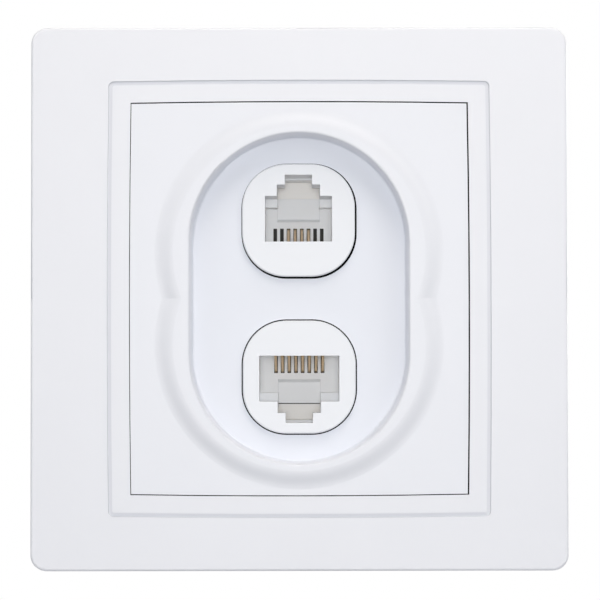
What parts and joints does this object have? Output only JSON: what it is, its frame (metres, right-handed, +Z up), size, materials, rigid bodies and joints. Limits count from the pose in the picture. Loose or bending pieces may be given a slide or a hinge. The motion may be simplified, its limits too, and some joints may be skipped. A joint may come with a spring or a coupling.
{
  "type": "telephone wall socket",
  "caption": "Flush wall outlet with a phone jack over a data jack, in an oval recess of a square cover.",
  "frame": {"origin": "middle of the cover frame's back, on the wall's surface", "axes": "+X to the right as seen from the room, +Y into the wall, +Z up"},
  "size_m": [0.08, 0.0286, 0.081],
  "materials": {
    "white_plastic": "satin moulded plastic",
    "jack_plastic": "satin moulded plastic",
    "cream_plastic": "satin moulded plastic",
    "gilt_wire": "gilt, polished",
    "circuit_board": "lacquered laminate",
    "terminal_plastic": "moulded plastic",
    "terminal_brass": "plain brass",
    "plated_bronze": "tinned",
    "steel_plate": "zinc plated sheet",
    "steel_screw": "zinc plated"
  },
  "bodies": {
    "socket": {"cover_frame": "white_plastic", "centre_plate": "white_plastic", "phone_jack_cap": "white_plastic", "data_jack_cap": "white_plastic", "phone_jack_housing": "jack_plastic", "data_jack_housing": "jack_plastic", "phone_contact_block": "cream_plastic", "data_contact_block": "cream_plastic", "module_carrier": "jack_plastic", "carrier_screws": "steel_screw", "mounting_plate": "steel_plate", "claw_pin_right": "steel_screw", "claw_pin_left": "steel_screw", "circuit_board": "circuit_board", "phone_terminal_block": "terminal_plastic", "terminal_screws": "steel_screw", "data_terminal_block": "terminal_plastic", "phone_contact_1": "gilt_wire", "phone_contact_2": "gilt_wire", "phone_contact_3": "gilt_wire", "phone_contact_4": "gilt_wire", "data_contact_1": "gilt_wire", "data_contact_2": "gilt_wire", "data_contact_3": "gilt_wire", "data_contact_4": "gilt_wire", "data_contact_5": "gilt_wire", "data_contact_6": "gilt_wire", "data_contact_7": "gilt_wire", "data_contact_8": "gilt_wire", "terminal_cage_1": "terminal_brass", "terminal_cage_2": "terminal_brass", "terminal_cage_3": "terminal_brass", "terminal_cage_4": "terminal_brass", "terminal_blade_1": "plated_bronze", "terminal_blade_2": "plated_bronze", "terminal_blade_3": "plated_bronze", "terminal_blade_4": "plated_bronze", "terminal_blade_5": "plated_bronze", "terminal_blade_6": "plated_bronze", "terminal_blade_7": "plated_bronze", "terminal_blade_8": "plated_bronze"},
    "claw_right": {"claw_right": "steel_plate"},
    "claw_left": {"claw_left": "steel_plate"},
    "claw_screw_right": {"claw_screw_right": "steel_screw"},
    "claw_screw_left": {"claw_screw_left": "steel_screw"}
  },
  "joints": [
    {"name": "claw_screw_right_turn", "type": "hinge", "parent": "socket", "child": "claw_screw_right", "pos_m": [0.0235, -0.0012, 0], "axis": [0, 1, 0], "range_deg": [0, 2520]},
    {"name": "claw_right_spread", "type": "hinge", "parent": "socket", "child": "claw_right", "pos_m": [0.017, 0.003, 0], "axis": [0, 0, -1], "range_deg": [0, 24.5]},
    {"name": "claw_screw_left_turn", "type": "hinge", "parent": "socket", "child": "claw_screw_left", "pos_m": [-0.0235, -0.0012, 0], "axis": [0, 1, 0], "range_deg": [0, 2520]},
    {"name": "claw_left_spread", "type": "hinge", "parent": "socket", "child": "claw_left", "pos_m": [-0.017, 0.003, 0], "axis": [0, 0, 1], "range_deg": [0, 24.5]}
  ],
  "couplings": [
    {"joint": "claw_right_spread", "follows": "claw_screw_right_turn", "ratio": 0.00972},
    {"joint": "claw_left_spread", "follows": "claw_screw_left_turn", "ratio": 0.00972}
  ]
}
